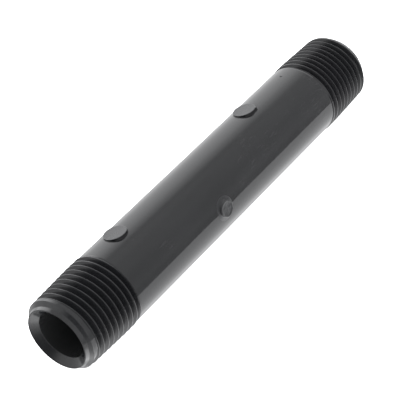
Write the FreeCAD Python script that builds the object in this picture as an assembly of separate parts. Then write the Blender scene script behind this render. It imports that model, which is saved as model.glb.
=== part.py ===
import FreeCAD, Part
import math
import os

from FreeCAD import Placement, Rotation, Vector

# Threaded pipe nipple, 1/2 inch NPT by 5 inches long, moulded in one piece of
# black plastic. Millimetres. The pipe axis is X, the origin is on the axis at
# mid-length, +Z is the way the mould opens and the ejector pads face, and the
# mould's parting plane is XY, with the injection gate on the -Y side.
# The moulding is given as its named regions, which meet face to face.

# Overall
LENGTH = 127.0
BARREL_RADIUS = 10.5
BORE_RADIUS = 6.75

# Tapered pipe thread, 14 threads per inch, 60 degrees, right-handed
PITCH = 25.4 / 14
TAPER = 1 / 32
FLANK_ANGLE = 30.0
LEFT_THREAD_LENGTH = 19.5
RIGHT_THREAD_LENGTH = 18.9
CREST_RADIUS_AT_TIP = 10.2
CREST_RADIUS_MAX = 10.668
CREST_FLAT = 0.16
ROOT_RADIUS_AT_TIP = 8.9
# Distance of the last full crest from its tip, and the angle from +Y towards
# +Z at which it is measured
LEFT_CREST_FROM_TIP = 17.59
RIGHT_CREST_FROM_TIP = 16.84
CREST_ANGLE = 143.8

# Mouth: the rim between the countersink inside and the lead chamfer outside,
# which starts shallow and gets steeper
RIM_RADIUS = 8.78
COUNTERSINK_RADIUS = 8.5
COUNTERSINK_DEPTH = 1.75
LEAD_SLOPE = 0.4
LEAD_STEEPER_FROM = 0.9
LEAD_STEEP_SLOPE = 1.0

# Marks that the mould leaves on the barrel
MARK_CENTRE_X = -6.1
PAD_SPACING = 56.8
PAD_RADIUS = 3.15
PAD_TOP = 10.9
PAD_EDGE = 0.12
GATE_X = -6.6
GATE_BASE_RADIUS = 2.6
GATE_TOP_RADIUS = 2.3
GATE_TOP = 11.3
GATE_FOOT_RADIUS = 3.3
GATE_FOOT_RISE = 0.15
PIP_X = 40.2
PIP_RADIUS = 0.8
PIP_TOP = 10.72
FLASH_WIDTH = 0.3
FLASH_TOP = 10.62
FLASH_CLEAR_OF_GATE = 0.05

# How far a tool or a rib is carried past the surface that trims it
OVERRUN = 0.2
BURIED = 0.3
MARK_ROOT = 9.0

BARREL_START = LEFT_THREAD_LENGTH - LENGTH / 2
BARREL_LENGTH = LENGTH - LEFT_THREAD_LENGTH - RIGHT_THREAD_LENGTH
TAN_FLANK = math.tan(math.radians(FLANK_ANGLE))
# The seams of the round surfaces are turned away from the joins of the rib's turns
SEAM_ANGLE = 97
SPECK = 0.001


def revolved(outline):
    """Solid of revolution about Z from (radius, height) corners."""
    points = [Vector(radius, 0, height) for radius, height in outline]
    face = Part.Face(Part.makePolygon(points + points[:1]))
    solid = face.revolve(Vector(0, 0, 0), Vector(0, 0, 1), 360)
    solid.rotate(Vector(0, 0, 0), Vector(0, 0, 1), SEAM_ANGLE)
    return solid


def crest_radius(height):
    return min(CREST_RADIUS_AT_TIP + TAPER * height, CREST_RADIUS_MAX)


def root_radius(height):
    return ROOT_RADIUS_AT_TIP + TAPER * height


def end_core(length):
    """Threaded end without its rib, tip at Z = 0: wall, countersink and lead chamfer."""
    lead_end = (ROOT_RADIUS_AT_TIP - RIM_RADIUS) / (LEAD_SLOPE - TAPER)
    return revolved([
        (BORE_RADIUS, COUNTERSINK_DEPTH),
        (COUNTERSINK_RADIUS, 0),
        (RIM_RADIUS, 0),
        (root_radius(lead_end), lead_end),
        (root_radius(length), length),
        (BORE_RADIUS, length),
    ])


def rib_envelope(length):
    """Space that the rib may fill: under the lead chamfer and the crest cone."""
    bend_radius = RIM_RADIUS + LEAD_SLOPE * LEAD_STEEPER_FROM
    crest_above_bend = crest_radius(LEAD_STEEPER_FROM) - bend_radius
    lead_end = LEAD_STEEPER_FROM + crest_above_bend / (LEAD_STEEP_SLOPE - TAPER)
    full_from = (CREST_RADIUS_MAX - CREST_RADIUS_AT_TIP) / TAPER
    inside = BORE_RADIUS + BURIED
    return revolved([
        (inside, COUNTERSINK_DEPTH),
        (RIM_RADIUS - BURIED, COUNTERSINK_DEPTH),
        (RIM_RADIUS + LEAD_SLOPE * OVERRUN, OVERRUN),
        (bend_radius, LEAD_STEEPER_FROM),
        (crest_radius(lead_end), lead_end),
        (CREST_RADIUS_MAX, full_from),
        (CREST_RADIUS_MAX, length),
        (inside, length),
    ])


def rib_turn(crest_height):
    """One turn of the helical rib; its crest is at crest_height where it crosses +X."""
    inner = ROOT_RADIUS_AT_TIP - BURIED
    outer = CREST_RADIUS_AT_TIP + OVERRUN / 2
    half_inner = CREST_FLAT / 2 + (CREST_RADIUS_AT_TIP - inner) * TAN_FLANK
    half_outer = CREST_FLAT / 2 - (outer - CREST_RADIUS_AT_TIP) * TAN_FLANK
    corners = [
        (inner, -half_inner),
        (outer, -half_outer),
        (outer, half_outer),
        (inner, half_inner),
    ]
    wires = []
    for radius, offset in corners:
        height = crest_height + offset
        wire = Part.makeHelix(PITCH, PITCH, radius + TAPER * height, math.degrees(math.atan(TAPER)))
        wire.translate(Vector(0, 0, height))
        wires.append(wire)
    faces = []
    for first, second in zip(wires, wires[1:] + wires[:1]):
        faces.append(Part.makeRuledSurface(first.Edges[0], second.Edges[0]))
    for end in (0, -1):
        corner_points = [wire.OrderedVertexes[end].Point for wire in wires]
        faces.append(Part.Face(Part.makePolygon(corner_points + corner_points[:1])))
    shell = Part.makeShell(faces)
    shell.sewShape()
    return Part.makeSolid(shell)


def threaded_end(length, crest_from_tip):
    """Threaded end with its tip at Z = 0; crest_from_tip holds on +X."""
    turns_before = math.ceil(crest_from_tip / PITCH) + 1
    turns_after = math.ceil((length - crest_from_tip) / PITCH) + 1
    envelope = rib_envelope(length)
    end = end_core(length)
    for turn in range(-turns_before, turns_after):
        piece = rib_turn(crest_from_tip + turn * PITCH).common(envelope)
        if piece.Volume > SPECK:
            end = end.fuse(piece)
    return end.removeSplitter()


def cylinder_x(radius, start, length):
    return Part.makeCylinder(radius, length, Vector(start, 0, 0), Vector(1, 0, 0))


def barrel():
    outside = cylinder_x(BARREL_RADIUS, BARREL_START, BARREL_LENGTH)
    return outside.cut(cylinder_x(BORE_RADIUS, BARREL_START - OVERRUN, BARREL_LENGTH + 2 * OVERRUN))


def off_barrel(shape):
    """What is left of a mark outside the barrel's round surface."""
    return shape.cut(cylinder_x(BARREL_RADIUS, -LENGTH / 2, LENGTH))


def ejector_pad(centre_x):
    pad = Part.makeCylinder(PAD_RADIUS, PAD_TOP - MARK_ROOT, Vector(centre_x, 0, MARK_ROOT))
    top_edge = [edge for edge in pad.Edges if edge.BoundBox.ZMin > PAD_TOP - PAD_EDGE]
    return off_barrel(pad.makeChamfer(PAD_EDGE, top_edge))


def gate_stub():
    """Sheared gate on a low round foot that follows the barrel."""
    outwards = Vector(0, -1, 0)
    height = GATE_TOP - MARK_ROOT
    stub = Part.makeCone(GATE_BASE_RADIUS, GATE_TOP_RADIUS, height, Vector(GATE_X, -MARK_ROOT, 0), outwards)
    foot = Part.makeCylinder(GATE_FOOT_RADIUS, height, Vector(GATE_X, -MARK_ROOT, 0), outwards)
    foot = foot.common(cylinder_x(BARREL_RADIUS + GATE_FOOT_RISE, -LENGTH / 2, LENGTH))
    return off_barrel(stub.fuse(foot))


def witness_pip():
    pip = Part.makeCone(PIP_RADIUS, PIP_RADIUS / 2, PIP_TOP - MARK_ROOT, Vector(PIP_X, 0, MARK_ROOT))
    return off_barrel(pip)


def flash_line(side):
    """Thin bead along the parting line; side is +1 for +Y and -1 for -Y."""
    corner = Vector(BARREL_START, MARK_ROOT, -FLASH_WIDTH / 2)
    bead = Part.makeBox(BARREL_LENGTH, FLASH_TOP - MARK_ROOT, FLASH_WIDTH, corner)
    if side < 0:
        bead.rotate(Vector(0, 0, 0), Vector(1, 0, 0), 180)
        around_gate = GATE_FOOT_RADIUS + FLASH_CLEAR_OF_GATE
        centre = Vector(GATE_X, 0, 0)
        bead = bead.cut(Part.makeCylinder(around_gate, LENGTH, centre, Vector(0, -1, 0)))
    return off_barrel(bead)


def place_end(shape, side):
    """Turn a threaded end from Z onto X; side is -1 for the left end, +1 for the right."""
    # Turned onto X the helix starts at 270 degrees from +Y towards +Z, and onto -X at 90 degrees
    start_angle = 270 if side < 0 else 90
    onto_x = Rotation(Vector(0, 1, 0), -90 * side)
    about_x = Rotation(Vector(1, 0, 0), CREST_ANGLE - start_angle)
    shape.Placement = Placement(Vector(side * LENGTH / 2, 0, 0), about_x * onto_x)
    return shape


nodes = {
    "barrel": barrel(),
    "threaded_end_left": place_end(threaded_end(LEFT_THREAD_LENGTH, LEFT_CREST_FROM_TIP), -1),
    "threaded_end_right": place_end(threaded_end(RIGHT_THREAD_LENGTH, RIGHT_CREST_FROM_TIP), 1),
    "ejector_pad_left": ejector_pad(MARK_CENTRE_X - PAD_SPACING / 2),
    "ejector_pad_right": ejector_pad(MARK_CENTRE_X + PAD_SPACING / 2),
    "gate_stub": gate_stub(),
    "witness_pip": witness_pip(),
    "flash_line_gate_side": flash_line(-1),
    "flash_line_plain_side": flash_line(1),
}

os.makedirs("parts", exist_ok=True)
for name, shape in nodes.items():
    solids = shape.Solids
    box = shape.BoundBox
    print(name, "solids", len(solids), "valid", shape.isValid(), "volume", round(shape.Volume, 3))
    print("   x", round(box.XMin, 3), round(box.XMax, 3), "y", round(box.YMin, 3), round(box.YMax, 3),
          "z", round(box.ZMin, 3), round(box.ZMax, 3))
    if len(solids) == 1:
        shape = solids[0]
    shape.exportStep("parts/" + name + ".step")
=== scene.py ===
import math

import bmesh
import bpy
import numpy as np
from mathutils import Matrix, Vector, noise


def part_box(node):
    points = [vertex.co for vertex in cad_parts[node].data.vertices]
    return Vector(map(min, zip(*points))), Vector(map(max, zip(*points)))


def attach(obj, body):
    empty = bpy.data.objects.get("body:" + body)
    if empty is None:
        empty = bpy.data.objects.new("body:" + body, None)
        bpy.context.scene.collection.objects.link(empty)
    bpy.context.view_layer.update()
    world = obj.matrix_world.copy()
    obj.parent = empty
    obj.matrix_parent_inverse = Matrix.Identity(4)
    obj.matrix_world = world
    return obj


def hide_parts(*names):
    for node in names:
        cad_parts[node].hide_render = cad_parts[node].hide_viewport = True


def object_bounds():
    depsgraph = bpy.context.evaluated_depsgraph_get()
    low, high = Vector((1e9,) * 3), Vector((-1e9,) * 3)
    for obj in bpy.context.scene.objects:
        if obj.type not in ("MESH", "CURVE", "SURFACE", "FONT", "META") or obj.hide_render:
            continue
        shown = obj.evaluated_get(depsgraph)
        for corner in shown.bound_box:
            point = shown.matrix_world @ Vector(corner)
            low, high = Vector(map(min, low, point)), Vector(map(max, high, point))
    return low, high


# A 1/2 inch NPT by 5 inch threaded pipe nipple of black plastic on a plain pale
# floor. Lengths are in millimetres until a mesh is made, in the CAD frame: X is
# the pipe axis, +Z the way the mould opens, XY the parting plane, with the gate
# on the -Y side. Angles round the pipe run from +Y towards +Z.

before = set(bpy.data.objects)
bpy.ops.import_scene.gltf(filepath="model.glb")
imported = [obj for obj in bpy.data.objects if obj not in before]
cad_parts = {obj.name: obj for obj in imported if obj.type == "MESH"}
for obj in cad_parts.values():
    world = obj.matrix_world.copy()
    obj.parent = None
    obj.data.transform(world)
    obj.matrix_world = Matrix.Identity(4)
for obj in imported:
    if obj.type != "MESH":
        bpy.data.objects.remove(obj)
cad_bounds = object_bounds()

MM = 0.001


def box_mm(node):
    low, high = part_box(node)
    return Vector(low) / MM, Vector(high) / MM


# The barrel, as the CAD node gives it, and the bore
barrel_low, barrel_high = box_mm("barrel")
BARREL_RADIUS = barrel_high.z
BARREL_START = barrel_low.x
BARREL_END = barrel_high.x
BORE_RADIUS = 6.75

# Tapered pipe thread
PITCH = 25.4 / 14
TAPER = 1 / 32
FLANK = math.tan(math.radians(30))
CREST_FLAT = 0.16
CREST_AT_TIP = 10.2
CREST_MAX = 10.668
ROOT_AT_TIP = 8.9
CREST_ROUNDING = 0.05
ROOT_ROUNDING = 0.06
# Distance of a crest from its tip at the left (-1) and right (1) end, and the
# angle round the pipe where it holds
CREST_FROM_TIP = {-1: 17.59, 1: 16.84}
CREST_ANGLE = 143.8
# The groove starts shallow: it is nothing where its middle is the first of these
# distances from the tip, and has its whole depth at the second
START_FILLED = 1.5
START_CUT = 3.6
START_CURVE = 1.6
# Stations across one pitch, as distances from the crest
CREST_SIDE = (0.04, 0.07, 0.09, 0.12, 0.17, 0.25, 0.34, 0.44, 0.54, 0.64, 0.74, 0.8, 0.84, 0.87)
PHASES = tuple(-phase for phase in reversed(CREST_SIDE)) + (0.0,) + CREST_SIDE + (PITCH / 2,)

# Lead chamfer: shallow from the rim, where it is plain for a short way, then steeper
RIM_RADIUS = 8.78
LEAD_SLOPE = 0.4
LEAD_STEEPER_FROM = 0.9
LEAD_STEEP_SLOPE = 1.0
LEAD_ROUNDING = 0.05
LEAD_PLAIN_TO = 0.3
# Mouth, from the lead chamfer into the bore, as distances from the tip and radii
RIM_PROFILE = ((0.16, 8.835), (0.06, 8.79), (0.015, 8.755), (0.0, 8.71), (0.0, 8.56),
               (0.008, 8.515), (0.04, 8.465))
COUNTERSINK_RADIUS = 8.5
COUNTERSINK_STATIONS = (0.1, 0.4, 0.9, 1.4, 1.75)
BORE_STATIONS = (2.2, 4.0, 10.0)
MOUTH_PROFILE = (RIM_PROFILE
                 + tuple((station, COUNTERSINK_RADIUS - station) for station in COUNTERSINK_STATIONS)
                 + tuple((station, BORE_RADIUS) for station in BORE_STATIONS))

# Shoulder where the thread runs out at the barrel
EDGE_ROUND = 0.06
SHOULDER_RISE = 1.73
SHOULDER_ROUNDING = 0.12
SHOULDER_FALL = 0.7
SHOULDER_OVER_EDGE = 0.02
SHOULDER_EDGE_ROUNDING = 0.05

# Columns round the pipe
COLUMN_STEP = 2.5
CLOSE_TO_LINE = (0.35, 0.7, 1.2)
PARTING_ANGLES = (0.0, 180.0)

# Flash left on the thread at the parting lines, which fades out towards its ends
THREAD_FLASH = 0.05
THREAD_FLASH_WIDTH = 0.5
THREAD_FLASH_FROM = 1.0
THREAD_FLASH_RISE = 2.0
THREAD_FLASH_FALL = 0.5

# How near the thread's stations may come to the rings that it ends in
RING_CLEAR = 0.012

# Faces that meet at more than this many degrees keep a sharp edge
SHARP_ANGLE = 38
MARK_SHARP_ANGLE = 60


def smooth_min(a, b, size):
    share = np.clip(0.5 + 0.5 * (b - a) / size, 0, 1)
    return b * (1 - share) + a * share - size * share * (1 - share)


def smooth_max(a, b, size):
    return -smooth_min(-a, -b, size)


def column_angles():
    """Angles of the mesh columns, closer together at the two parting lines."""
    angles = set(np.arange(0, 360, COLUMN_STEP).tolist())
    for line in PARTING_ANGLES:
        for gap in CLOSE_TO_LINE:
            angles.add((line + gap) % 360)
            angles.add((line - gap) % 360)
    return np.array(sorted(angles))


COLUMNS = column_angles()


def from_parting_line(angle):
    """Degrees from the nearer parting line."""
    return np.abs((np.asarray(angle) + 90) % 180 - 90)


def wander(position, scale, seed):
    """Smooth seeded noise along one number, from about -1 to 1."""
    return noise.noise(Vector((position / scale, seed * 7.31, seed * 1.77)))


def piece(name, vertices, faces, node, material, sharp=SHARP_ANGLE):
    """A closed mesh, given in millimetres, that stands for a CAD node."""
    places = (np.asarray(vertices, float) * MM).tolist()
    mesh = bpy.data.meshes.new(name)
    mesh.from_pydata(places, [], [list(map(int, face)) for face in faces])
    editable = bmesh.new()
    editable.from_mesh(mesh)
    bmesh.ops.recalc_face_normals(editable, faces=editable.faces)
    editable.to_mesh(mesh)
    editable.free()
    mesh.polygons.foreach_set("use_smooth", [True] * len(mesh.polygons))
    mesh.set_sharp_from_angle(angle=math.radians(sharp))
    mesh.materials.append(material)
    made = bpy.data.objects.new(name, mesh)
    bpy.context.scene.collection.objects.link(made)
    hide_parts(node)
    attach(made, "root")
    return made


def ring_faces(first, second):
    """Quads between two closed rings of the same number of vertices."""
    count = len(first)
    faces = []
    for step in range(count):
        following = (step + 1) % count
        faces.append((first[step], first[following], second[following], second[step]))
    return faces


# ---------------------------------------------------------------- threaded ends

def thread_radius(from_tip, past_crest, length):
    """Radius of the moulded thread, from the distance to the tip and past the nearest crest."""
    crest_cone = CREST_AT_TIP + TAPER * from_tip
    groove = from_tip - past_crest + np.where(past_crest < 0, -PITCH / 2, PITCH / 2)
    depth = np.clip((groove - START_FILLED) / (START_CUT - START_FILLED), 0, 1) ** START_CURVE
    root = crest_cone - (CREST_AT_TIP - ROOT_AT_TIP) * depth
    flank = crest_cone - (np.abs(past_crest) - CREST_FLAT / 2) / FLANK
    crest = np.minimum(crest_cone, CREST_MAX)
    radius = smooth_max(root, smooth_min(crest, flank, CREST_ROUNDING), ROOT_ROUNDING)
    steeper = (LEAD_STEEP_SLOPE - LEAD_SLOPE) * np.maximum(from_tip - LEAD_STEEPER_FROM, 0)
    radius = smooth_min(radius, RIM_RADIUS + LEAD_SLOPE * from_tip + steeper, LEAD_ROUNDING)
    edge = BARREL_RADIUS - EDGE_ROUND
    left_to_go = length - from_tip
    radius = smooth_max(radius, edge - SHOULDER_RISE * left_to_go, SHOULDER_ROUNDING)
    over_edge = edge + SHOULDER_FALL * left_to_go + SHOULDER_OVER_EDGE
    return smooth_min(radius, over_edge, SHOULDER_EDGE_ROUNDING)


def thread_surface(side, length):
    """Distances from the tip and radii: a row for each station along the helix, a column each angle."""
    crest = CREST_FROM_TIP[side]
    turns = range(-math.ceil(crest / PITCH) - 1, math.ceil((length - crest) / PITCH) + 2)
    offsets = np.array([turn * PITCH + phase for turn in turns for phase in PHASES])
    past_crest = np.array(PHASES * len(turns))
    climb = -side * PITCH * (COLUMNS - CREST_ANGLE) / 360
    from_tip = crest + offsets[:, None] + climb[None, :]
    radius = thread_radius(from_tip, past_crest[:, None], length)
    near_line = np.exp(-(from_parting_line(COLUMNS) / THREAD_FLASH_WIDTH) ** 2)
    rise = np.clip((from_tip - THREAD_FLASH_FROM) / THREAD_FLASH_RISE, 0, 1)
    fall = np.clip((length - from_tip) / THREAD_FLASH_FALL, 0, 1)
    return from_tip, radius + THREAD_FLASH * near_line[None, :] * rise * fall


def threaded_end(node, side, material):
    """Threaded end: the helical surface, the mouth and the bore; side is -1 left and 1 right."""
    low, high = box_mm(node)
    tip_x = high.x if side > 0 else low.x
    length = high.x - low.x
    from_tip, radius = thread_surface(side, length)
    rows, columns = from_tip.shape
    per_turn = len(PHASES)
    vertices, faces = [], []

    def add(distance, at_radius, column):
        angle = math.radians(COLUMNS[column])
        place = (tip_x - side * distance, at_radius * math.cos(angle), at_radius * math.sin(angle))
        vertices.append(place)
        return len(vertices) - 1

    def ring(distance, at_radius):
        return [add(distance, at_radius, column) for column in range(columns)]

    lead_ring = ring(LEAD_PLAIN_TO, RIM_RADIUS + LEAD_SLOPE * LEAD_PLAIN_TO)
    shoulder_ring = ring(length, BARREL_RADIUS - EDGE_ROUND)
    index = np.zeros(from_tip.shape, int)
    for row in range(rows):
        for column in range(columns):
            distance = from_tip[row, column]
            if distance < LEAD_PLAIN_TO + RING_CLEAR:
                index[row, column] = lead_ring[column]
            elif distance > length - RING_CLEAR:
                index[row, column] = shoulder_ring[column]
            else:
                index[row, column] = add(distance, radius[row, column], column)

    def at(row, column):
        if row < 0:
            return lead_ring[column]
        if row >= rows:
            return shoulder_ring[column]
        return index[row, column]

    for column in range(columns):
        following = (column + 1) % columns
        # Where the angles start again the helix is one turn further on
        shift = -side * per_turn if following == 0 else 0
        for row in range(-per_turn, rows + per_turn):
            corners = [at(row, column), at(row + 1, column),
                       at(row + 1 + shift, following), at(row + shift, following)]
            kept = [corner for k, corner in enumerate(corners) if corner != corners[k - 1]]
            if len(set(kept)) > 2:
                faces.append(kept)

    previous = lead_ring
    for distance, at_radius in MOUTH_PROFILE + ((length, BORE_RADIUS),):
        inner_ring = ring(distance, at_radius)
        faces += ring_faces(previous, inner_ring)
        previous = inner_ring
    faces += ring_faces(previous, shoulder_ring)
    return piece(node + "_moulding", vertices, faces, node, material)


# ---------------------------------------------------------------- barrel

# Rows of vertices along the barrel, with closer ones at its rounded edges
BARREL_ROW = 0.8
EDGE_ROWS = (0.0, 0.02, 0.07)
EDGE_DROPS = (EDGE_ROUND, EDGE_ROUND * 0.35, 0.0)
PLAIN_FROM = 0.5
BORE_ROWS = 12
# Low unevenness of the moulded surface
BARREL_WAVE = 0.006
WAVE_LENGTH = 9
WAVES_AROUND = 1.6
# Soft ridge along each parting line, whose height wanders
CREASE_HEIGHT = 0.055
CREASE_WIDTH = 4.0
CREASE_WANDER = 0.35
CREASE_WANDER_LENGTH = 3.0


def barrel(material):
    """Plain barrel with rounded edges, slight unevenness, soft parting ridges and the bore."""
    count = round((BARREL_END - BARREL_START - 2 * PLAIN_FROM) / BARREL_ROW)
    rows = [BARREL_START + gap for gap in EDGE_ROWS]
    rows += np.linspace(BARREL_START + PLAIN_FROM, BARREL_END - PLAIN_FROM, count).tolist()
    rows += [BARREL_END - gap for gap in reversed(EDGE_ROWS)]
    drops = EDGE_DROPS + (0.0,) * count + tuple(reversed(EDGE_DROPS))
    ridge = np.exp(-from_parting_line(COLUMNS) / CREASE_WIDTH)
    vertices, faces, rings = [], [], []

    def ring(x, radii):
        first = len(vertices)
        for degrees, radius in zip(COLUMNS, radii):
            angle = math.radians(degrees)
            vertices.append((x, radius * math.cos(angle), radius * math.sin(angle)))
        rings.append(list(range(first, len(vertices))))

    def outside(x, drop):
        """Radii round the outside at x, all lower by drop at the rounded edges."""
        ends = min(1.0, min(x - BARREL_START, BARREL_END - x) / PLAIN_FROM)
        radii = []
        for degrees, on_ridge in zip(COLUMNS, ridge):
            angle = math.radians(degrees)
            seed = 1 if 90 < degrees < 270 else 2
            height = CREASE_HEIGHT * (1 + CREASE_WANDER * wander(x, CREASE_WANDER_LENGTH, seed))
            around = WAVES_AROUND * math.cos(angle), WAVES_AROUND * math.sin(angle)
            wave = noise.noise(Vector((x / WAVE_LENGTH, *around)))
            radii.append(BARREL_RADIUS - drop + ends * (height * on_ridge + BARREL_WAVE * wave))
        return radii

    for x, drop in zip(rows, drops):
        ring(x, outside(x, drop))
    for x in np.linspace(BARREL_END, BARREL_START, BORE_ROWS):
        ring(x, [BORE_RADIUS] * len(COLUMNS))
    for first, second in zip(rings, rings[1:] + rings[:1]):
        faces += ring_faces(first, second)
    return piece("barrel_moulding", vertices, faces, "barrel", material)


# ---------------------------------------------------------------- marks of the mould

AROUND = 96
# How far the underside of a mark lies inside the barrel's surface
SUNK = 0.12


def on_barrel(across):
    """Height of the barrel's surface over the axis, at a distance across from its top."""
    return math.sqrt(BARREL_RADIUS ** 2 - min(abs(across), BARREL_RADIUS) ** 2)


def round_noise(angle, waves, seed):
    """Noise that closes on itself round a circle."""
    return noise.noise(Vector((math.cos(angle) * waves, math.sin(angle) * waves, seed)))


def bell(distance, width):
    return math.exp(-(distance / width) ** 2)


class Mark:
    """Mesh of closed rings, from the middle of a mark's top round to its underside."""

    def __init__(self, middle, around=AROUND):
        self.around = around
        self.vertices = [middle]
        self.rings = []

    def ring(self, place):
        """Adds a ring; place gives a vertex from its angle."""
        current = []
        for step in range(self.around):
            self.vertices.append(place(2 * math.pi * step / self.around))
            current.append(len(self.vertices) - 1)
        self.rings.append(current)

    def faces(self, bottom):
        """All faces, closed by a fan at the middle of the top and one at the place bottom."""
        self.vertices.append(bottom)
        underside = len(self.vertices) - 1
        top_ring, last_ring = self.rings[0], self.rings[-1]
        faces = []
        for step in range(self.around):
            faces.append((0, top_ring[step], top_ring[(step + 1) % self.around]))
        for first, second in zip(self.rings, self.rings[1:]):
            faces += ring_faces(first, second)
        for step in range(self.around):
            faces.append((underside, last_ring[(step + 1) % self.around], last_ring[step]))
        return faces


# Rounded edge of a pad's top: shares of its radius, and heights over the plain top
PAD_PROFILE = ((0.18, 0.0), (0.36, 0.0), (0.54, 0.0), (0.7, 0.002), (0.82, 0.006), (0.9, 0.01),
               (0.945, 0.012), (0.965, 0.004), (0.982, -0.02), (0.994, -0.06), (1.0, -0.12))
PAD_EDGE = 0.12
PAD_TOP_ROOM = 0.012
PAD_RIPPLE = 0.006
PAD_RIPPLE_BELOW = 0.01
PAD_RIPPLES = 1.1
PAD_SIDE_PARTS = (0.35, 0.65, 0.85, 0.95)
PAD_FLARE = 0.1
PAD_FOOT_FLARE = 0.16
PAD_FOOT_SUNK = 0.01
PAD_BOTTOM_SHARE = 0.5
PAD_SHARP_ANGLE = 50
# Nib on the edge of a pad: how far it stands out, its width in degrees, and the share
# of the pad's radius from which it shows
NIB = 0.35
NIB_WIDTH = 5
NIB_FROM_SHARE = 0.9


def ejector_pad(node, seed, material, nib_angle=None):
    """Raised round pad with a flared foot; nib_angle in degrees puts a small nib on its edge."""
    low, high = box_mm(node)
    centre_x = (low.x + high.x) / 2
    pad_radius = (high.x - low.x) / 2
    top = high.z - PAD_TOP_ROOM
    pad = Mark((centre_x, 0, top - PAD_RIPPLE_BELOW))

    def ring(share, height_at, flare=0.0):
        def place(angle):
            radius = pad_radius * share + flare
            if nib_angle is not None and share > NIB_FROM_SHARE:
                radius += NIB * bell((math.degrees(angle) - nib_angle + 180) % 360 - 180, NIB_WIDTH)
            x, y = centre_x + radius * math.cos(angle), radius * math.sin(angle)
            return x, y, height_at(x, y)
        pad.ring(place)

    def face_height(lift):
        def height(x, y):
            ripple = noise.noise(Vector((x * PAD_RIPPLES, y * PAD_RIPPLES, seed)))
            return top + lift - PAD_RIPPLE_BELOW + PAD_RIPPLE * ripple
        return height

    def side_height(part):
        return lambda x, y: (top - PAD_EDGE) * (1 - part) + on_barrel(y) * part

    for share, lift in PAD_PROFILE:
        ring(share, face_height(lift))
    for part in PAD_SIDE_PARTS:
        ring(1.0, side_height(part), PAD_FLARE * part ** 4)
    ring(1.0, lambda x, y: on_barrel(y) - PAD_FOOT_SUNK, PAD_FOOT_FLARE)
    ring(1.0, lambda x, y: on_barrel(y) - SUNK, PAD_FOOT_FLARE)
    ring(PAD_BOTTOM_SHARE, lambda x, y: on_barrel(y) - SUNK)
    faces = pad.faces((centre_x, 0, BARREL_RADIUS - SUNK))
    return piece(node + "_disc", pad.vertices, faces, node, material, PAD_SHARP_ANGLE)


GATE_TOP_RADIUS = 2.3
GATE_BASE_RADIUS = 2.42
GATE_RINGS = 16
GATE_SIDE_PARTS = (0.2, 0.45, 0.7, 0.88, 0.97, 1.0)
# Torn top: coarse and fine unevenness, ragged outline, and a lip that drops at its edge
TORN_BELOW = 0.1
TORN_COARSE = 0.08
TORN_COARSE_WAVES = 0.8
TORN_FINE = 0.05
TORN_FINE_WAVES = 2.6
TORN_SUNK = 0.05
RAGGED = 0.03
LIP = 0.1
LIP_AT = 0.9
LIP_WIDTH = 0.07
TORN_EDGE_DROP = 0.12
TORN_EDGE_FROM = 0.94
# Low round foot, which thins out unevenly
GATE_FOOT_RISE = 0.14
GATE_FOOT_LEAST = 0.004
GATE_FOOT_UNEVEN = 0.3
GATE_FOOT_CURVE = 1.5
GATE_FOOT_PARTS = (0.15, 0.4, 0.65, 0.85, 0.95, 1.0)


def gate_stub(node, material):
    """Sheared injection gate: a stub with a torn, uneven top on a low round foot."""
    low, high = box_mm(node)
    centre_x = (low.x + high.x) / 2
    foot_radius = (high.x - low.x) / 2
    top = -low.y

    def torn(x, z):
        coarse = noise.noise(Vector((x * TORN_COARSE_WAVES, z * TORN_COARSE_WAVES, 3.1)))
        fine = noise.noise(Vector((x * TORN_FINE_WAVES, z * TORN_FINE_WAVES, 9.4)))
        return top - TORN_BELOW + TORN_COARSE * coarse + TORN_FINE * fine

    def ragged(angle, share=1.0):
        return 1 + RAGGED * share * round_noise(angle, 2, 5.5)

    def ring(radius_at, height_at):
        def place(angle):
            radius = radius_at(angle)
            x, z = centre_x + radius * math.cos(angle), radius * math.sin(angle)
            return x, -height_at(x, z, angle), z
        stub.ring(place)

    def top_ring(share):
        lip = LIP * bell(share - LIP_AT, LIP_WIDTH)
        drop = TORN_EDGE_DROP * max(0.0, (share - TORN_EDGE_FROM) / (1 - TORN_EDGE_FROM)) ** 2
        ring(lambda angle: GATE_TOP_RADIUS * share * ragged(angle),
             lambda x, z, angle: torn(x, z) - TORN_SUNK + lip - drop)

    def side_ring(part):
        radius = GATE_TOP_RADIUS + (GATE_BASE_RADIUS - GATE_TOP_RADIUS) * part ** 2

        def height(x, z, angle):
            edge = torn(x, z) - TORN_SUNK - TORN_EDGE_DROP
            return edge * (1 - part) + (on_barrel(z) + GATE_FOOT_RISE) * part

        ring(lambda angle: radius * ragged(angle, 1 - part), height)

    def foot_ring(part, sunk=0.0):
        """Ring of the foot; part is 0 where it leaves the stub and 1 at its edge."""
        def height(x, z, angle):
            uneven = 1 + GATE_FOOT_UNEVEN * round_noise(angle, 1.5, 2.5)
            rise = GATE_FOOT_RISE * (1 - part ** GATE_FOOT_CURVE * uneven) if part < 1 else 0.0
            return on_barrel(z) + max(rise, GATE_FOOT_LEAST) - sunk

        ring(lambda angle: GATE_BASE_RADIUS + (foot_radius - GATE_BASE_RADIUS) * part, height)

    stub = Mark((centre_x, TORN_SUNK - torn(centre_x, 0), 0))
    for number in range(1, GATE_RINGS + 1):
        top_ring(number / GATE_RINGS)
    for part in GATE_SIDE_PARTS:
        side_ring(part)
    for part in GATE_FOOT_PARTS:
        foot_ring(part)
    foot_ring(1.0, SUNK)
    faces = stub.faces((centre_x, SUNK - BARREL_RADIUS, 0))
    return piece("gate_stub_torn", stub.vertices, faces, node, material, MARK_SHARP_ANGLE)


FLASH_STEP = 0.45
FLASH_HALF = 0.13
FLASH_HALF_SHARE = 0.8
FLASH_HALF_WANDER = 0.25
FLASH_TIP_HALF = 0.02
FLASH_LEAN = 0.04
FLASH_HEIGHT = 0.035
FLASH_LEAST = 0.012
# Each wave of the height: its size, its length along the pipe and its seed
FLASH_WAVES = ((0.03, 1.3, 4), (0.02, 0.5, 8))
FLASH_ENDS = 0.8
FLASH_ENDS_LEAST = 0.1
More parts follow.
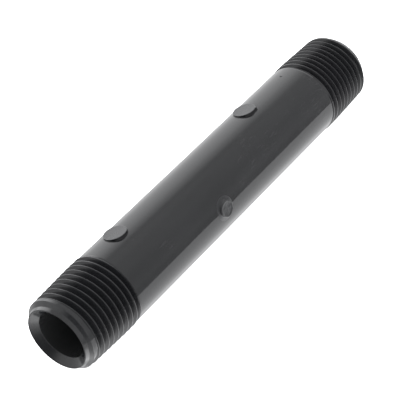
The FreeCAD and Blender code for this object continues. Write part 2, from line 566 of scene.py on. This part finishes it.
# Beside the gate the flash stands up as a fin, and it reaches into the gate's foot
FIN = 0.11
FIN_FROM_GATE = 0.5
FIN_WIDTH = 0.9
FLASH_INTO_GATE = 0.12
NO_FADE_NEAR_GATE = 1.2
# Section of the bead, which stands on the parting ridge and narrows through a waist to its tip
FLASH_ON_RIDGE = 0.75
WAIST_WIDTH = 0.55
WAIST_HEIGHT = 0.45
FLASH_FOOT = 0.1
FLASH_KEEL = 0.16


def flash_section(x, side, height):
    """Corners of the bead's section at x, as distances across and radii."""
    base = BARREL_RADIUS + CREASE_HEIGHT * FLASH_ON_RIDGE
    half = FLASH_HALF * (FLASH_HALF_SHARE + FLASH_HALF_WANDER * wander(x, 0.9, 12 + side))
    lean = FLASH_LEAN * wander(x, 1.7, 16 + side)
    waist = base + height * WAIST_HEIGHT
    return ((-half, base - FLASH_FOOT), (-half * WAIST_WIDTH, waist),
            (lean - FLASH_TIP_HALF, base + height), (lean + FLASH_TIP_HALF, base + height),
            (half * WAIST_WIDTH, waist), (half, base - FLASH_FOOT), (0.0, base - FLASH_KEEL))


def flash_line(node, side, material):
    """Irregular thin bead along one parting line; the gate, on side -1, breaks it in two."""
    low, high = box_mm(node)
    stretches = [(low.x, high.x)]
    breaks = []
    if side < 0:
        gate_low, gate_high = box_mm("gate_stub")
        breaks = [gate_low.x, gate_high.x]
        stretches = [(low.x, gate_low.x + FLASH_INTO_GATE), (gate_high.x - FLASH_INTO_GATE, high.x)]
    gate_ends = [x for stretch in stretches for x in stretch if low.x < x < high.x]
    vertices, faces = [], []

    def height_at(x, start, end):
        height = FLASH_HEIGHT
        for size, scale, seed in FLASH_WAVES:
            height += size * wander(x, scale, seed + side)
        if breaks:
            height += FIN * bell(min(abs(x - place) for place in breaks) - FIN_FROM_GATE, FIN_WIDTH)
        height = max(height, FLASH_LEAST)
        if any(abs(x - place) < NO_FADE_NEAR_GATE for place in gate_ends):
            return height
        return height * max(min(1.0, min(x - start, end - x) / FLASH_ENDS), FLASH_ENDS_LEAST)

    for start, end in stretches:
        count = round((end - start) / FLASH_STEP)
        stations = []
        for number in range(count + 1):
            x = start + (end - start) * number / count
            current = []
            for across, radius in flash_section(x, side, height_at(x, start, end)):
                vertices.append((x, side * radius, across))
                current.append(len(vertices) - 1)
            stations.append(current)
        for first, second in zip(stations, stations[1:]):
            faces += ring_faces(first, second)
        faces.append(stations[0])
        faces.append(list(reversed(stations[-1])))
    return piece(node + "_bead", vertices, faces, node, material, MARK_SHARP_ANGLE)


PIP_AROUND = 40
PIP_RINGS = 12
# Its two bumps: height as a share of the pip's, place from the middle, and squared width
PIP_BUMPS = ((1.0, -0.15, 0.08, 0.16), (0.7, 0.5, -0.3, 0.05))
PIP_ROUGH = 0.12
PIP_ROUGH_WAVES = 3
PIP_EDGE_SUNK = 0.02


def witness_pip(node, material):
    """Small uneven pip with a second, lower bump beside it."""
    low, high = box_mm(node)
    centre_x = (low.x + high.x) / 2
    pip_radius = (high.x - low.x) / 2
    height = high.z - BARREL_RADIUS

    def lump(x, y):
        total = PIP_ROUGH * noise.noise(Vector((x * PIP_ROUGH_WAVES, y * PIP_ROUGH_WAVES, 2.2)))
        for share, at_x, at_y, width in PIP_BUMPS:
            total += share * math.exp(-((x - at_x) ** 2 + (y - at_y) ** 2) / width)
        return height * min(1.0, max(0.0, total))

    def surface(x, y, share):
        return on_barrel(y) + lump(x, y) * (1 - share ** 4) - PIP_EDGE_SUNK * share ** 8

    def ring(share, height_at):
        def place(angle):
            x, y = pip_radius * share * math.cos(angle), pip_radius * share * math.sin(angle)
            return centre_x + x, y, height_at(x, y, share)
        pip.ring(place)

    pip = Mark((centre_x, 0, surface(0, 0, 0)), PIP_AROUND)
    for number in range(1, PIP_RINGS + 1):
        ring(number / PIP_RINGS, surface)
    ring(1.0, lambda x, y, share: on_barrel(y) - SUNK)
    faces = pip.faces((centre_x, 0, BARREL_RADIUS - SUNK))
    return piece("witness_pip_lump", pip.vertices, faces, node, material,
                 MARK_SHARP_ANGLE)


# ---------------------------------------------------------------- materials

class Nodes:
    """Short calls for building a node tree."""

    def __init__(self, tree):
        self.tree = tree

    def add(self, kind, **settings):
        node = self.tree.nodes.new(kind)
        for key, value in settings.items():
            setattr(node, key, value)
        return node

    def link(self, output, target):
        self.tree.links.new(output, target)

    def feed(self, target, value):
        if isinstance(value, bpy.types.NodeSocket):
            self.link(value, target)
        else:
            target.default_value = value

    def maths(self, operation, a, b=0.0):
        node = self.add("ShaderNodeMath", operation=operation)
        self.feed(node.inputs[0], a)
        self.feed(node.inputs[1], b)
        return node.outputs[0]

    def times(self, *values):
        product = values[0]
        for value in values[1:]:
            product = self.maths("MULTIPLY", product, value)
        return product

    def span(self, value, low, high, to_low=0.0, to_high=1.0, how="SMOOTHSTEP"):
        node = self.add("ShaderNodeMapRange", interpolation_type=how)
        self.feed(node.inputs["Value"], value)
        node.inputs["From Min"].default_value = low
        node.inputs["From Max"].default_value = high
        self.feed(node.inputs["To Min"], to_low)
        self.feed(node.inputs["To Max"], to_high)
        return node.outputs["Result"]

    def mix(self, share, first, second):
        node = self.add("ShaderNodeMix", data_type="RGBA")
        self.feed(node.inputs[0], share)
        self.feed(node.inputs[6], first)
        self.feed(node.inputs[7], second)
        return node.outputs[2]

    def noise(self, place, scale, detail, rough=0.5, stretch=None):
        if stretch:
            mapping = self.add("ShaderNodeMapping")
            mapping.inputs["Scale"].default_value = stretch
            self.link(place, mapping.inputs["Vector"])
            place = mapping.outputs["Vector"]
        node = self.add("ShaderNodeTexNoise")
        self.link(place, node.inputs["Vector"])
        node.inputs["Scale"].default_value = scale
        node.inputs["Detail"].default_value = detail
        node.inputs["Roughness"].default_value = rough
        return node.outputs["Fac"]

    def dot(self, vector, fixed):
        node = self.add("ShaderNodeVectorMath", operation="DOT_PRODUCT")
        self.link(vector, node.inputs[0])
        node.inputs[1].default_value = fixed
        return node.outputs["Value"]


# Mottling of the plastic: features per metre, drawn out along the pipe
FLOW_SCALE = 90.0
FLOW_STRETCH = (0.35, 1.0, 1.0)
FLOW_SHARE = 0.7
SPECK_SCALE = 2600.0
SPECK_SHARE = 0.3
TONE_RANGE = (0.35, 0.65)
FINISH_SCALE = 260.0
FINISH_RANGE = (0.3, 0.7)
# Faint rubbed marks, only on the outside of the pipe
STREAK_SCALE = 900.0
STREAK_STRETCH = (0.35, 1.0, 1.6)
STREAK_RANGE = (0.58, 0.7)
PATCH_SCALE = 70.0
PATCH_RANGE = (0.52, 0.68)
WORN_COLOUR = (0.09, 0.09, 0.095, 1)
WORN_ROUGHER = 0.25
OUTSIDE_RADII = (0.0100, 0.0104)
# The bore, which is duller than the outside
INSIDE_RADII = (0.0070, 0.0067)
INSIDE_COLOUR = (0.022, 0.0225, 0.023, 1)
INSIDE_ROUGHER = 0.08
SHINE = 0.5
INSIDE_SHINE = 0.3
# The side of a pad: painted shade makes it darker and less shiny than its face, and it is also smoother
SIDE_BELOW_FACE = 0.04
PAD_SIDE_PAINTED_SHADE = (0.006, 0.006, 0.007, 1)
SIDE_SMOOTHER = 0.1
PAD_SIDE_SHADE_SHINE_LOSS = 0.25
REFRACTION = 1.5


def plastic(name, dark, light, smooth, rough, grain_size, grain_depth, scuffs=0.0, face_from=None):
    """Black moulded plastic.

    dark and light are the ends of its mottled colour, smooth and rough those of its
    roughness; the grain's size and depth, and the height face_from over the axis
    where a pad's side meets its face and its painted shade starts, are in millimetres.
    """
    material = bpy.data.materials.new(name)
    material.use_nodes = True
    nodes = Nodes(material.node_tree)
    shader = material.node_tree.nodes["Principled BSDF"]
    place = nodes.add("ShaderNodeTexCoord").outputs["Object"]
    flow = nodes.noise(place, FLOW_SCALE, detail=3.0, rough=0.55, stretch=FLOW_STRETCH)
    speck = nodes.noise(place, SPECK_SCALE, detail=1.0)
    tone = nodes.maths("ADD", nodes.times(flow, FLOW_SHARE), nodes.times(speck, SPECK_SHARE))
    colour = nodes.mix(nodes.span(tone, *TONE_RANGE), (*dark, 1), (*light, 1))
    gloss = nodes.noise(place, FINISH_SCALE, detail=3.0, rough=0.6)
    finish = nodes.span(gloss, *FINISH_RANGE, smooth, rough)

    # How far a place is from the pipe's axis tells the bore from the outside
    apart = nodes.add("ShaderNodeSeparateXYZ")
    nodes.link(place, apart.inputs[0])
    across = [nodes.times(output, output) for output in apart.outputs[1:]]
    from_axis = nodes.maths("SQRT", nodes.maths("ADD", *across))
    inside = nodes.span(from_axis, *INSIDE_RADII)
    colour = nodes.mix(inside, colour, INSIDE_COLOUR)
    finish = nodes.maths("ADD", finish, nodes.times(inside, INSIDE_ROUGHER))
    shine = nodes.span(inside, 0.0, 1.0, SHINE, INSIDE_SHINE)

    # Rubbed marks are thin streaks that show only inside a few worn patches
    streaks = nodes.noise(place, STREAK_SCALE, detail=2.0, rough=0.6, stretch=STREAK_STRETCH)
    patches = nodes.noise(place, PATCH_SCALE, detail=1.0)
    worn = nodes.times(nodes.span(streaks, *STREAK_RANGE), nodes.span(patches, *PATCH_RANGE), scuffs,
                       nodes.span(from_axis, *OUTSIDE_RADII))
    colour = nodes.mix(worn, colour, WORN_COLOUR)
    finish = nodes.maths("ADD", finish, nodes.times(worn, WORN_ROUGHER))

    # Painted shade: below face_from a pad's side gets a darker colour and less shine, and it is also
    # made smoother
    if face_from:
        painted_side_shade = nodes.span(apart.outputs[2], face_from * MM, (face_from - SIDE_BELOW_FACE) * MM)
        colour = nodes.mix(painted_side_shade, colour, PAD_SIDE_PAINTED_SHADE)
        finish = nodes.maths("SUBTRACT", finish, nodes.times(painted_side_shade, SIDE_SMOOTHER))
        shine = nodes.maths("SUBTRACT", shine, nodes.times(painted_side_shade, PAD_SIDE_SHADE_SHINE_LOSS))

    nodes.link(colour, shader.inputs["Base Color"])
    nodes.link(finish, shader.inputs["Roughness"])
    nodes.link(shine, shader.inputs["Specular IOR Level"])
    shader.inputs["IOR"].default_value = REFRACTION
    bump = nodes.add("ShaderNodeBump")
    bump.inputs["Strength"].default_value = 1.0
    bump.inputs["Distance"].default_value = grain_depth * MM
    nodes.link(nodes.noise(place, 1 / (grain_size * MM), detail=2.0), bump.inputs["Height"])
    nodes.link(bump.outputs["Normal"], shader.inputs["Normal"])
    return material


moulded = plastic("moulded_black_plastic", dark=(0.008, 0.0085, 0.0095), light=(0.0125, 0.013, 0.0145),
                  smooth=0.13, rough=0.17, grain_size=0.9, grain_depth=0.003, scuffs=0.1)
pad_plastic = plastic("ejector_pad_plastic", dark=(0.012, 0.0125, 0.014), light=(0.020, 0.0205, 0.023),
                      smooth=0.24, rough=0.32, grain_size=0.35, grain_depth=0.012, scuffs=0.2,
                      face_from=10.82)
gate_plastic = plastic("sheared_gate_plastic", dark=(0.014, 0.0145, 0.016), light=(0.028, 0.029, 0.032),
                       smooth=0.3, rough=0.48, grain_size=0.3, grain_depth=0.05)


# ---------------------------------------------------------------- build

barrel(moulded)
threaded_end("threaded_end_left", -1, moulded)
threaded_end("threaded_end_right", 1, moulded)
ejector_pad("ejector_pad_left", 1.5, pad_plastic)
ejector_pad("ejector_pad_right", 6.5, pad_plastic, nib_angle=-60.0)
gate_stub("gate_stub", gate_plastic)
witness_pip("witness_pip", moulded)
flash_line("flash_line_gate_side", -1, moulded)
flash_line("flash_line_plain_side", 1, moulded)


# ---------------------------------------------------------------- floor

# In metres. The floor gives off light of its own, so that it is as pale as what lies behind it
FLOOR_HALF = 3.0
FLOOR_COLOUR = (0.9, 0.9, 0.9, 1)
FLOOR_ROUGHNESS = 0.9
FLOOR_GLOW = 1.2


def floor():
    """Plain pale floor under the lowest point of the pipe, left out of its reflections."""
    lowest = Vector(cad_bounds[0]).z
    ways = ((-1, -1), (1, -1), (1, 1), (-1, 1))
    mesh = bpy.data.meshes.new("floor")
    mesh.from_pydata([(x * FLOOR_HALF, y * FLOOR_HALF, lowest) for x, y in ways], [], [(0, 1, 2, 3)])
    material = bpy.data.materials.new("pale_floor")
    material.use_nodes = True
    shader = material.node_tree.nodes["Principled BSDF"]
    shader.inputs["Base Color"].default_value = FLOOR_COLOUR
    shader.inputs["Roughness"].default_value = FLOOR_ROUGHNESS
    shader.inputs["Emission Color"].default_value = (1, 1, 1, 1)
    shader.inputs["Emission Strength"].default_value = FLOOR_GLOW
    mesh.materials.append(material)
    made = bpy.data.objects.new("floor", mesh)
    bpy.context.scene.collection.objects.link(made)
    made.visible_glossy = False


floor()


# ---------------------------------------------------------------- studio light

# Directions in the studio: along the pipe, away from the camera and up. A place in
# the surroundings is told by its way's share of each, from -1 to 1
STUDIO_X = Vector((1.0, 0.0, 0.0))
STUDIO_AWAY = Vector((0.0, 0.9230, 0.3841))
STUDIO_UP = Vector((0.0, -0.3841, 0.9230))

# Each part of the surroundings that the glossy plastic mirrors has a strength, and
# a range of shares over which it passes into the next part
BACKDROP_LOW, BACKDROP_HIGH, BACKDROP_RANGE = 1.45, 2.15, (-0.45, 0.36)
BACKDROP_FOOT, BACKDROP_FOOT_RANGE = 0.45, (-0.72, -0.38)
BACKDROP_TOP, BACKDROP_TOP_RANGE = 0.72, (0.46, 0.68)
NEAR_END_GAIN, FAR_END_GAIN, END_GAIN_RANGE = 0.6, 0.97, (-0.2, 0.1)
SOFTBOX, SOFTBOX_AT, SOFTBOX_RANGE = 1.8, (0.05, 0.95, 0.3), (0.85, 0.965)
SOFTBOX_TOP, SOFTBOX_TOP_AT, SOFTBOX_TOP_RANGE = 1.3, (-0.153, 0.815, 0.56), (0.86, 0.97)
CEILING_EDGE, CEILING, CEILING_RANGE = 0.8, 1.02, (0.72, 0.8)
CEILING_MIDDLE_GAIN, CEILING_MIDDLE_RANGE = 1.1, (0.95, 0.82)
BACKDROP_TO_CEILING = (0.665, 0.725)
BACK_DARK, BACK_DARK_RANGE = 0.2, (-0.86, -0.77)
FRONT_LOW, FRONT_HIGH, FRONT_RANGE = 0.65, 0.84, (-0.03, 0.14)
FRONT_NEAR_GAIN, FRONT_NEAR_RANGE = 1.3, (0.5, -0.2)
FRONT_TO_CEILING = (0.5, 0.8)
FRONT_DARK, FRONT_DARK_RANGE = 0.17, (-0.88, -0.6)
FRONT_TO_BACK = (-0.05, 0.05)
TABLE = 1.75
TABLE_SPOT, TABLE_SPOT_AT, TABLE_SPOT_RANGE = 2.3, (0.0, -0.62, -0.78), (0.87, 0.96)
TABLE_DARK, TABLE_DARK_RANGE = 0.3, (-0.8, -0.48)
SHADOW, SHADOW_AT, SHADOW_RANGE = 0.45, (0.56, 0.42, -0.71), (0.87, 1.0)
UNDERSIDE, UNDERSIDE_AT, UNDERSIDE_RANGE = 0.62, (0.1, 0.15, -0.98), (0.93, 0.98)
TABLE_TOP_RANGE = (-0.175, -0.205)
TABLE_END_RANGE = (0.46, 0.38)
# What the camera sees behind the floor is plain white
SEEN_WHITE = 2.0
LIGHT_COLOUR = (0.985, 0.99, 1.0, 1)


def studio_way(x, away, up):
    return (STUDIO_X * x + STUDIO_AWAY * away + STUDIO_UP * up).normalized()


def studio_light():
    """World light that stands for the studio: backdrop, softboxes, ceiling, room and table."""
    world = bpy.data.worlds.new("studio")
    bpy.context.scene.world = world
    world.use_nodes = True
    nodes = Nodes(world.node_tree)
    background = world.node_tree.nodes["Background"]
    way = nodes.add("ShaderNodeTexCoord").outputs["Generated"]
    up = nodes.dot(way, STUDIO_UP)
    away = nodes.dot(way, STUDIO_AWAY)
    along = nodes.dot(way, STUDIO_X)
    times, span = nodes.times, nodes.span

    def blend(share, low, high):
        return nodes.maths("ADD", times(nodes.maths("SUBTRACT", 1.0, share), low), times(share, high))

    def near(place, limits, to_low, to_high, how="SMOOTHSTEP"):
        """From to_low to to_high as the way turns towards a place of the studio."""
        return span(nodes.dot(way, studio_way(*place)), *limits, to_low, to_high, how)

    # Behind the object: a bright backdrop with softboxes, below the dimmer ceiling
    backdrop = times(span(up, *BACKDROP_RANGE, BACKDROP_LOW, BACKDROP_HIGH, "LINEAR"),
                     span(up, *BACKDROP_FOOT_RANGE, BACKDROP_FOOT, 1.0, "LINEAR"),
                     span(up, *BACKDROP_TOP_RANGE, 1.0, BACKDROP_TOP),
                     span(along, *END_GAIN_RANGE, NEAR_END_GAIN, FAR_END_GAIN))
    softboxes = nodes.maths("MAXIMUM", near(SOFTBOX_AT, SOFTBOX_RANGE, 0.0, SOFTBOX),
                            near(SOFTBOX_TOP_AT, SOFTBOX_TOP_RANGE, 0.0, SOFTBOX_TOP))
    backdrop = nodes.maths("ADD", backdrop, softboxes)
    ceiling = times(span(up, *CEILING_RANGE, CEILING_EDGE, CEILING),
                    span(up, *CEILING_MIDDLE_RANGE, 1.0, CEILING_MIDDLE_GAIN))
    back = times(blend(span(up, *BACKDROP_TO_CEILING), backdrop, ceiling),
                 span(along, *BACK_DARK_RANGE, BACK_DARK, 1.0))
    # In front: the room, dim, and darker still beyond the near end of the pipe
    front = times(span(up, *FRONT_RANGE, FRONT_LOW, FRONT_HIGH),
                  span(along, *FRONT_NEAR_RANGE, 1.0, FRONT_NEAR_GAIN))
    front = times(blend(span(up, *FRONT_TO_CEILING), front, CEILING),
                  span(along, *FRONT_DARK_RANGE, FRONT_DARK, 1.0))
    room = blend(span(away, *FRONT_TO_BACK), front, back)
    # The table: pale, with the softbox's glare on it and the pipe's own shadow
    glare = near(TABLE_SPOT_AT, TABLE_SPOT_RANGE, 0.0, TABLE_SPOT)
    table = times(nodes.maths("ADD", glare, TABLE),
                  span(along, *TABLE_DARK_RANGE, TABLE_DARK, 1.0),
                  near(SHADOW_AT, SHADOW_RANGE, 1.0, SHADOW, "LINEAR"),
                  near(UNDERSIDE_AT, UNDERSIDE_RANGE, 1.0, UNDERSIDE))
    on_table = times(span(up, *TABLE_TOP_RANGE), span(away, *TABLE_END_RANGE))
    light = blend(on_table, room, table)
    seen = nodes.add("ShaderNodeLightPath").outputs["Is Camera Ray"]
    background.inputs["Color"].default_value = LIGHT_COLOUR
    nodes.link(nodes.maths("MAXIMUM", light, times(seen, SEEN_WHITE)), background.inputs["Strength"])


studio_light()


# ---------------------------------------------------------------- camera

# The photo's viewpoint: above and beyond the left end of the pipe, turned about its own view
CAMERA_AT = Vector((-259.87, -277.95, 203.43)) * MM
CAMERA_RIGHT = Vector((0.573226, -0.757091, -0.313409))
CAMERA_FORWARD = Vector((0.596042, 0.647729, -0.474533))
CAMERA_LENS = 148.97
SENSOR_WIDTH = 36
CLIP_START = 0.01


def camera():
    data = bpy.data.cameras.new("camera")
    data.lens = CAMERA_LENS
    data.sensor_width = SENSOR_WIDTH
    data.clip_start = CLIP_START
    forward = CAMERA_FORWARD.normalized()
    right = (CAMERA_RIGHT - forward * CAMERA_RIGHT.dot(forward)).normalized()
    up = right.cross(forward)
    turned = Matrix((right, up, -forward)).transposed()
    made = bpy.data.objects.new("camera", data)
    made.matrix_world = Matrix.Translation(CAMERA_AT) @ turned.to_4x4()
    bpy.context.scene.collection.objects.link(made)
    bpy.context.scene.camera = made


camera()

scene = bpy.context.scene
scene.view_settings.view_transform = "Standard"
scene.view_settings.look = "None"
scene.view_settings.exposure = 0.0
scene.view_settings.gamma = 1.0
